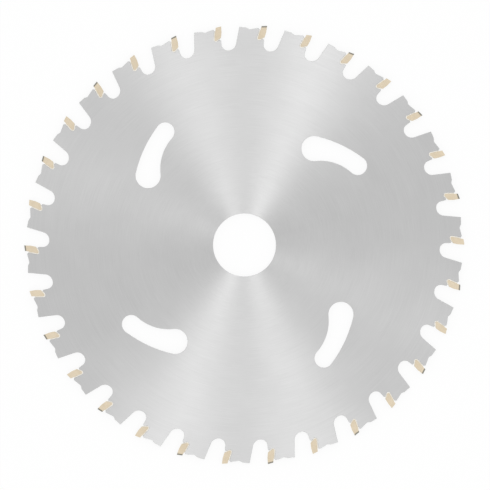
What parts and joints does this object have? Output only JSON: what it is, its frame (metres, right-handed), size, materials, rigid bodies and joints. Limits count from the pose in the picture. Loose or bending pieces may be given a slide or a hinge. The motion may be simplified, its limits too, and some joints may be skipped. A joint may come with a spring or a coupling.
{
  "type": "circular saw blade",
  "caption": "Flat toothed steel disc with a central arbor bore, kidney slots, deep gullets, humped shoulders and brazed carbide tips, flat and high chamfered ones in turn.",
  "frame": {"origin": "centre of the arbor bore, halfway through the plate", "axes": "+Z along the bore's axis, up from the face that the picture shows; +X through the cutting edge of tip_01. Seen from +Z the blade cuts clockwise."},
  "size_m": [0.2098, 0.2088, 0.0028],
  "materials": {
    "steel": "fine circular ground tool steel",
    "carbide": "satin tan tungsten carbide with ground edges",
    "braze": "satin pale silver braze"
  },
  "bodies": {
    "root": {"blade_body": "steel", "braze_joints": "braze", "tip_01": "carbide", "tip_02": "carbide", "tip_03": "carbide", "tip_04": "carbide", "tip_05": "carbide", "tip_06": "carbide", "tip_07": "carbide", "tip_08": "carbide", "tip_09": "carbide", "tip_10": "carbide", "tip_11": "carbide", "tip_12": "carbide", "tip_13": "carbide", "tip_14": "carbide", "tip_15": "carbide", "tip_16": "carbide", "tip_17": "carbide", "tip_18": "carbide", "tip_19": "carbide", "tip_20": "carbide", "tip_21": "carbide", "tip_22": "carbide", "tip_23": "carbide", "tip_24": "carbide", "tip_25": "carbide", "tip_26": "carbide", "tip_27": "carbide", "tip_28": "carbide", "tip_29": "carbide", "tip_30": "carbide"}
  },
  "joints": []
}
